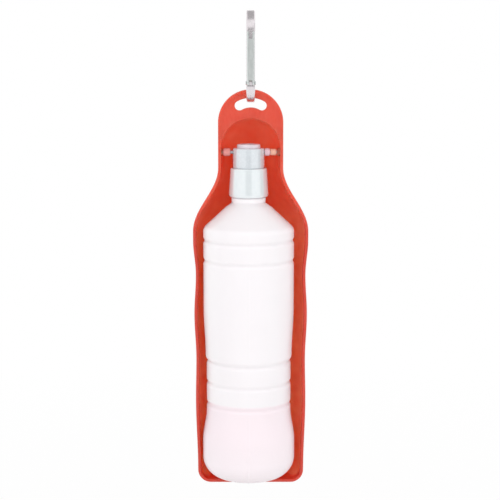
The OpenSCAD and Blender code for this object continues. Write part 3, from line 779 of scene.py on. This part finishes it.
def mixed(tree, factor, first, second):
    """A mix of two colours. Each is 0 to 255 numbers or the output of another node."""
    node = tree.nodes.new("ShaderNodeMix")
    node.data_type = "RGBA"
    tree.links.new(factor, node.inputs["Factor"])
    colour_a, colour_b, colour_result = node.inputs[6], node.inputs[7], node.outputs[2]
    for socket, colour in ((colour_a, first), (colour_b, second)):
        if isinstance(colour, tuple):
            socket.default_value = paint(*colour)
        else:
            tree.links.new(colour, socket)
    return colour_result


def relief(tree, height, depth, under=None):
    """A Bump node: a height of 0 to 1 stands for 0 to `depth` millimetres. It may lie on top of another
    one."""
    node = tree.nodes.new("ShaderNodeBump")
    node.inputs["Distance"].default_value = depth * MM
    node.inputs["Strength"].default_value = 1.0
    tree.links.new(height, node.inputs["Height"])
    if under is not None:
        tree.links.new(under, node.inputs["Normal"])
    return node.outputs["Normal"]


print("a mid grey of 128 is", round(paint(128, 128, 128)[0], 3), "as light")

# %% [markdown]
# ### The tray's red plastic
#
# The tray is injection-moulded polypropylene: a warm red with a soft gloss. Light is scattered a little way
# inside it, which subsurface scattering gives. Up close it has faint flow marks along its length and a very
# fine orange peel, and the foremost faces turn a little paler in patches. These are found by depth, because
# the land and the flange are the foremost points. Beside the bottle their colour is darker, as painted shade.
#
# In the photograph the narrow gaps beside the bottle are as bright as the open face, and the rim round the
# bottle is a deeper red. So painted light makes the inner face lighter than the skin, for light that the
# walls and the bottle keep out, most of all beside the bottle, and painted shade makes the front of the rim
# darker there. A point is on the inner face if its normal looks forwards and it lies behind the front of the
# rim: the Y of the normal and of the place tell.

# %% Tray finish
def tray_finish():
    """Red plastic in shades mixed by noise, depth and height, with painted light inside, painted shade on the
    rim, uneven gloss and two reliefs.
    """
    material, tree, shader, where = start_finish(
        "tray_red_plastic", (216, 66, 48), Roughness=0.3, IOR=1.46,
        Subsurface_Weight=0.8, Subsurface_Scale=0.018,
    )
    shader.inputs["Subsurface Radius"].default_value = (1.0, 0.25, 0.18)
    flow = noise(tree, where, 34, 3, (0.5, 0.5, 2.2))
    clouds = noise(tree, where, 9, 4)
    skin = mixed(tree, between(tree, flow, 0, 1), (202, 76, 56), (208, 82, 62))
    # Painted light: the inner face gets lighter shades than the skin, for light that the walls and the bottle
    # keep out.
    inner = mixed(tree, between(tree, flow, 0, 1), (228, 112, 86), (234, 120, 94))
    place = parts_of(tree, where)
    facing = parts_of(tree, where.node.outputs["Normal"])
    forwards = between(tree, facing["Y"], 1, 0, -0.08, 0)
    hollow = product(tree, forwards, between(tree, place["Y"], 0, 1, 0, 4 * MM))
    # The heights of the narrow gaps beside the bottle, where the painted light and the painted shade below
    # are strongest.
    beside = between(tree, place["Z"], 1, 0, -150 * MM, -120 * MM)
    # Painted shade: the front of the rim beside the bottle is painted a deeper red.
    painted_shade_rim = product(tree, beside, between(tree, place["Y"], 1, 0, 1 * MM, 8 * MM))
    skin = mixed(tree, painted_shade_rim, skin, (178, 64, 50))
    # Painted light: the inner face beside the bottle is painted lighter still.
    inner = mixed(tree, beside, inner, (255, 160, 136))
    body = mixed(tree, hollow, skin, inner)
    body = mixed(tree, between(tree, clouds, 0, 0.3), body, (206, 72, 54))
    # The foremost faces, the land and the flange, are painted paler in noisy patches. Beside the bottle the
    # patches take a darker colour, as painted shade that goes with the rim's.
    front = between(tree, place["Y"], 1, 0, -1.25 * MM, -0.75 * MM)
    paler_patches = product(tree, front, between(tree, noise(tree, where, 1.6, 5, (1, 1, 2.5)), 0.0, 0.3))
    worn = mixed(tree, beside, (222, 104, 84), (196, 86, 72))
    tree.links.new(mixed(tree, paler_patches, body, worn), shader.inputs["Base Color"])
    tree.links.new(between(tree, noise(tree, where, 7, 1), 0.3, 0.38, 0.1, 0.9), shader.inputs["Roughness"])
    peel = relief(tree, noise(tree, where, 1.4, 1), 0.008)
    tree.links.new(relief(tree, noise(tree, where, 16, 2), 0.12, under=peel), shader.inputs["Normal"])
    return material


red_plastic = tray_finish()
for piece in (tray, bosses):
    piece.data.materials.clear()
    piece.data.materials.append(red_plastic)
print("tray finish has", len(red_plastic.node_tree.nodes), "nodes")

# %% [markdown]
# ### The milky bottle
#
# Soft polyethylene is translucent: light enters the wall, is scattered and comes out near by. Subsurface
# scattering gives that milky body. A painted reflection of the red tray is mixed into the colour by place:
# the bottle is painted a touch pinker below the last groove and on its right flank, and painted light makes
# it paler on its left one, as in the photograph.

# %% Bottle finish
def bottle_finish():
    """Milky plastic: two close shades in soft clouds, painted reflection of the red tray and painted light by
    height and side, uneven gloss, two reliefs.
    """
    material, tree, shader, where = start_finish(
        "milky_polyethylene", (246, 243, 245), Roughness=0.38, IOR=1.5,
        Subsurface_Weight=0.4, Subsurface_Scale=0.003,
    )
    shader.inputs["Subsurface Radius"].default_value = (1.0, 0.95, 0.95)
    place = parts_of(tree, where)
    # Painted reflection of the red tray: pinker below the last groove, less so towards the foot.
    low = between(tree, place["Z"], 1, 0, -266.2 * MM, -264.6 * MM)
    painted_reflection_fade = between(tree, place["Z"], 0.55, 1, -316 * MM, -285 * MM)
    # Painted light on the left flank, painted reflection of the red tray on the right one.
    left_flank_painted_light = between(tree, place["X"], 0.9, 0, -33 * MM, -20 * MM)
    right_flank_painted_reflection = between(tree, place["X"], 0, 0.9, 17 * MM, 30 * MM)
    clouds = noise(tree, where, 26, 3, (1, 1, 2))
    body = mixed(tree, between(tree, clouds, 0, 1), (246, 240, 243), (248, 242, 245))
    body = mixed(tree, left_flank_painted_light, body, (255, 250, 252))
    body = mixed(tree, right_flank_painted_reflection, body, (250, 236, 240))
    body = mixed(tree, product(tree, low, painted_reflection_fade), body, (250, 233, 239))
    tree.links.new(body, shader.inputs["Base Color"])
    tree.links.new(between(tree, noise(tree, where, 5, 4), 0.32, 0.46), shader.inputs["Roughness"])
    fine = relief(tree, noise(tree, where, 0.5, 2), 0.01)
    ripples = noise(tree, where, 12, 2, (1, 1, 2))
    tree.links.new(relief(tree, ripples, 0.25, under=fine), shader.inputs["Normal"])
    return material


milky_plastic = bottle_finish()
bottle.data.materials.append(milky_plastic)
print("bottle finish has", len(milky_plastic.node_tree.nodes), "nodes")

# %% [markdown]
# ### Cap, collar, seals and beads
#
# The cap is hard, smooth, slightly grey plastic from a polished mould. The collar is the same plastic,
# painted a shade greyer as painted shade, and the outlet ring is painted a little pinker as a painted
# reflection of the red tray, and is duller. The valve and the gasket are soft and dull. The beads are tumbled
# plastic: one pink, one white, one cream, and all three have a painted warm reflection of the red walls,
# which makes the white one a pale lilac pink.

# %% Small plastic finishes
def smooth_plastic(name, light, dark, rough, peel=0.006, grain=3.0, polish=0.0):
    """Smooth plastic: two close shades in soft clouds of `grain` millimetres, uneven gloss and a faint peel.
    Polish is the weight of a hard clear skin, as on a part from a polished mould."""
    material, tree, shader, where = start_finish(
        name, light, Roughness=rough, IOR=1.49, Coat_Weight=polish, Coat_Roughness=0.12, Coat_IOR=2.8
    )
    clouds = noise(tree, where, grain, 4)
    tree.links.new(mixed(tree, between(tree, clouds, 0, 1), light, dark), shader.inputs["Base Color"])
    gloss = noise(tree, where, grain * 0.7, 5)
    tree.links.new(between(tree, gloss, rough * 0.85, rough * 1.25), shader.inputs["Roughness"])
    tree.links.new(relief(tree, noise(tree, where, 0.35, 2), peel), shader.inputs["Normal"])
    return material


plastics = {
    "cap": smooth_plastic("cap_plastic", (219, 226, 228), (214, 222, 225), 0.22, 0.003, polish=1.0),
    # Painted shade: the collar is the cap's plastic painted a shade greyer.
    "collar": smooth_plastic("collar_plastic_painted_shade", (208, 214, 219), (202, 209, 214), 0.25, 0.003, polish=0.8),
    # Painted reflection: the outlet ring's pink is the red tray mirrored in it.
    "outlet": smooth_plastic("outlet_plastic_painted_reflection", (226, 214, 220), (216, 205, 212), 0.3, 0.003),
    "gasket": smooth_plastic("gasket_rubber", (214, 214, 208), (202, 202, 196), 0.6, 0.02),
    "silicone": smooth_plastic("valve_silicone", (236, 233, 228), (226, 222, 216), 0.5, 0.02),
    # The beads' own pink, white and cream carry a painted warm reflection of the red walls, which makes the
    # white bead lilac pink.
    "pink": smooth_plastic("pink_bead", (226, 150, 144), (214, 134, 130), 0.24, grain=1.2),
    "lilac": smooth_plastic("white_bead_painted_pink", (230, 192, 200), (218, 178, 188), 0.22, grain=1.2),
    "cream": smooth_plastic("cream_bead", (238, 184, 160), (226, 168, 144), 0.24, grain=1.2),
    "plunger": smooth_plastic("plunger_plastic", (198, 192, 178), (186, 180, 166), 0.35, grain=1.0),
}
for piece, finish in (
    (cap, "cap"), (outlet, "outlet"), (collar, "collar"), (bead_pieces["left_bead"], "pink"),
    (bead_pieces["right_inner_bead"], "lilac"), (bead_pieces["right_outer_bead"], "cream"),
):
    piece.data.materials.append(plastics[finish])
print("plastic finishes:", ", ".join(plastics))

# %% [markdown]
# ### Metals
#
# The carabiner is bent from flat aluminium bar and tumbled until it shines. Metal takes its look from what it
# mirrors, so the finish is mostly roughness: fine lines drawn out along each piece, except on the thin spring
# wire, and small handling marks. The gate is satin, and the rivet, the pins and the spring are steel.

# %% Metal finishes
def metal(name, colour, worn, rough, stretch):
    """Metal with lines drawn out along one axis, uneven gloss and slightly darker rubbed spots."""
    material, tree, shader, where = start_finish(name, colour, Metallic=1.0, Roughness=rough)
    lines = noise(tree, where, 0.6, 2, stretch)
    marks = noise(tree, where, 2.2, 5)
    tree.links.new(mixed(tree, between(tree, marks, 0, 1), colour, worn), shader.inputs["Base Color"])
    tree.links.new(between(tree, lines, rough * 0.8, rough * 1.35), shader.inputs["Roughness"])
    tree.links.new(relief(tree, lines, 0.003), shader.inputs["Normal"])
    return material


metals = {
    "bar": metal("polished_aluminium", (238, 232, 235), (227, 221, 224), 0.22, (1, 1, 6)),
    "gate": metal("satin_aluminium", (232, 237, 235), (224, 230, 228), 0.36, (1, 1, 8)),
    "rivet": metal("rivet_steel", (206, 211, 211), (190, 195, 196), 0.3, (3, 1, 1)),
    "pin": metal("pin_steel", (190, 191, 195), (176, 177, 182), 0.26, (6, 1, 1)),
    "wire": metal("spring_wire", (172, 174, 178), (156, 158, 163), 0.3, (1, 1, 1)),
}
for piece, finish in ((carabiner_bar, "bar"), (gate, "gate"), (rivet, "rivet")):
    piece.data.materials.append(metals[finish])
carried_over = {
    "cap_gasket": plastics["gasket"], "slit_valve": plastics["silicone"], "gate_plunger": plastics["plunger"],
    "left_pivot_pin": metals["pin"], "right_pivot_pin": metals["pin"], "gate_latch_pin": metals["rivet"],
    "gate_spring": metals["wire"],
}
for node, material in carried_over.items():
    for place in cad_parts[node].material_slots:
        place.material = material
print("carried over from the measured model:", ", ".join(carried_over))

# %% [markdown]
# ## Light
#
# A catalogue photograph of a white cap on white paper is taken in a white room with large soft lamps. Two
# lamps light the flanks, one above fills the shoulders, and one behind the camera and a little above it
# reaches into the trough. They are set so that a colour renders about as bright as it is written. Gloss
# doesn't show the lamps: it mirrors the white room, which draws wide bright bands on every shiny cylinder,
# and three grey cards, which draw the darker stripes between them.

# %% Lamps
def softbox(name, place, size, watts):
    """A rectangular lamp at a place in metres that faces the middle of the object. It lights the object, but
    doesn't show as a patch in its gloss."""
    data = bpy.data.lights.new(name, "AREA")
    data.shape = "RECTANGLE"
    data.size, data.size_y = size
    data.energy = watts
    lamp = bpy.data.objects.new(name, data)
    lamp.location = place
    lamp.rotation_euler = (camera_target - Vector(place)).to_track_quat("-Z", "Y").to_euler()
    lamp.visible_glossy = False
    bpy.context.scene.collection.objects.link(lamp)
    return lamp


lamps = [
    softbox("left_softbox", (-1.2, -0.85, 0.0), (1.0, 1.4), 4.8),
    softbox("right_softbox", (1.2, -0.85, 0.0), (1.0, 1.4), 5.2),
    softbox("top_softbox", (0, -0.5, 1.1), (1.2, 0.8), 1.5),
    softbox("front_softbox", (0, -1.4, 0.1), (0.8, 0.8), 2.6),
]
print("lamps:", ", ".join(lamp.name for lamp in lamps))

# %% [markdown]
# ## The room
#
# The background is white because the world looks white to the camera and in reflections, not because more
# light falls on the object. The world's own light on the object is a little weaker. Only the gloss sees the
# grey cards: one stands behind the camera, one lies above and one stands at the right.

# %% World and grey cards
world = bpy.data.worlds.new("studio")
bpy.context.scene.world = world
world.use_nodes = True
sky = world.node_tree
sky.nodes.clear()


def seen_or_mirrored(tree):
    """1 where the camera looks straight, in a mirror or through something clear, 0 for light that falls on
    the object."""
    rays = tree.nodes.new("ShaderNodeLightPath")
    seen = rays.outputs["Is Camera Ray"]
    for kind in ("Is Glossy Ray", "Is Transmission Ray"):
        either = tree.nodes.new("ShaderNodeMath")
        either.operation = "MAXIMUM"
        tree.links.new(seen, either.inputs[0])
        tree.links.new(rays.outputs[kind], either.inputs[1])
        seen = either.outputs["Value"]
    return seen


light_on_object, light_seen = 0.82, 1.0
brightness = between(sky, seen_or_mirrored(sky), light_on_object, light_seen, 0, 1)
background = sky.nodes.new("ShaderNodeBackground")
background.inputs["Color"].default_value = (1, 1, 1, 1)
sky.links.new(brightness, background.inputs["Strength"])
sky.links.new(background.outputs["Background"], sky.nodes.new("ShaderNodeOutputWorld").inputs["Surface"])


def sheet(corner, across, along):
    """A flat shell: its corners are the given one, and that plus across, plus along, and plus both."""
    corner, across, along = (np.array(v, float) for v in (corner, across, along))
    return np.array([[corner, corner + across], [corner + along, corner + along + across]]), False, False


def staged(name, sheets):
    """A thing of the studio, which isn't part of the object."""
    prop = bpy.data.objects.new(name, make_mesh(name, sheets))
    bpy.context.scene.collection.objects.link(prop)
    return prop


card = staged("grey_card", [
    sheet((-420, -1250, -900), (840, 0, 0), (0, 0, 1500)),
    sheet((-600, -500, 1500), (1200, 0, 0), (0, 3100, 0)),
    sheet((1250, -330, -900), (0, 550, 0), (0, 0, 1500)),
])
card.visible_camera = card.visible_diffuse = card.visible_transmission = card.visible_shadow = False
card_paint, tree, shader, where = start_finish("grey_card", (0, 0, 0), Roughness=0.9)
shader.inputs["Emission Color"].default_value = (0.48, 0.48, 0.48, 1)
shader.inputs["Emission Strength"].default_value = 1
card.data.materials.append(card_paint)
print("the world lights with", light_on_object, "and shows", light_seen)

# %% [markdown]
# ## The floor
#
# The object hangs from its carabiner, so the floor lies a little below it and takes a faint shadow. The paper
# is pale, and mostly a white glow where it is seen, all the more so further from the object: there it runs
# into the white background without a line.

# %% Floor
floor_z = -375
floor = staged("floor", [sheet((-8000, -8000, floor_z), (16000, 0, 0), (0, 16000, 0))])
paper, tree, shader, where = start_finish("white_paper", (244, 244, 244), Roughness=0.9)
glow = tree.nodes.new("ShaderNodeEmission")
shown = tree.nodes.new("ShaderNodeMixShader")
far = tree.nodes.new("ShaderNodeVectorMath")
far.operation = "LENGTH"
tree.links.new(where, far.inputs[0])
share = between(tree, far.outputs["Value"], 0.94, 1.0, 0.4, 0.7)
tree.links.new(product(tree, share, seen_or_mirrored(tree)), shown.inputs["Fac"])
tree.links.new(shader.outputs["BSDF"], shown.inputs[1])
tree.links.new(glow.outputs["Emission"], shown.inputs[2])
tree.links.new(shown.outputs["Shader"], tree.nodes["Material Output"].inputs["Surface"])
floor.data.materials.append(paper)
bpy.context.scene.view_settings.view_transform = "Standard"
print("the floor lies at z =", floor_z, "mm")
